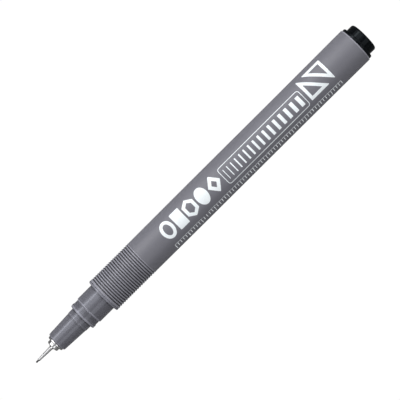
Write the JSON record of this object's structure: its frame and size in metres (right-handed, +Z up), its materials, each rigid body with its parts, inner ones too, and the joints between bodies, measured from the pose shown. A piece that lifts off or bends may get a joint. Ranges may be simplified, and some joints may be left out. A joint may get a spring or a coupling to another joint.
{
  "type": "technical pen",
  "caption": "Uncapped technical fineliner pen: ribbed grip, stepped nose, metal ferrule with needle nib, plain barrel and cap-posting tail plug.",
  "frame": {"origin": "on the table under the middle of the pen's length (bottom centre of the bounding box)", "axes": "+X along the pen from the nib to the tail plug, +Z up from the table through the side with the print, +Y to the top of the print"},
  "size_m": [0.128, 0.0112, 0.0112],
  "materials": {
    "barrel_plastic": "cool mid grey injection-moulded polypropylene, fine matte grain",
    "nose_plastic": "same cool grey as the barrel, smooth satin gloss",
    "plug_plastic": "black polypropylene, glossy",
    "ferrule_steel": "bright turned stainless steel",
    "needle_steel": "drawn stainless tube, fine drawing lines along it",
    "nib_fibre": "plastic fibre wet with black ink",
    "holder_plastic": "natural white moulded plastic",
    "wick_fibre": "bonded fibre soaked with black ink",
    "reservoir_fibre": "bonded polyester fibre soaked with black ink",
    "reservoir_wrap": "thin clear film",
    "print_white": "slightly cool white pad-printed ink, satin"
  },
  "bodies": {
    "barrel": {"barrel": "barrel_plastic", "nose_section": "nose_plastic", "reservoir_core": "reservoir_fibre", "reservoir_film": "reservoir_wrap"},
    "nib_unit": {"nib_holder": "holder_plastic", "ferrule": "ferrule_steel", "needle_tube": "needle_steel", "nib_point": "nib_fibre", "relay_wick": "wick_fibre"},
    "tail_plug": {"tail_plug": "plug_plastic"}
  },
  "joints": [
    {"name": "nib_unit_pull", "type": "slide", "parent": "barrel", "child": "nib_unit", "axis": [-1, 0, 0], "range_m": [0, 0.0295]},
    {"name": "tail_plug_pull", "type": "slide", "parent": "barrel", "child": "tail_plug", "axis": [1, 0, 0], "range_m": [0, 0.0085]}
  ]
}
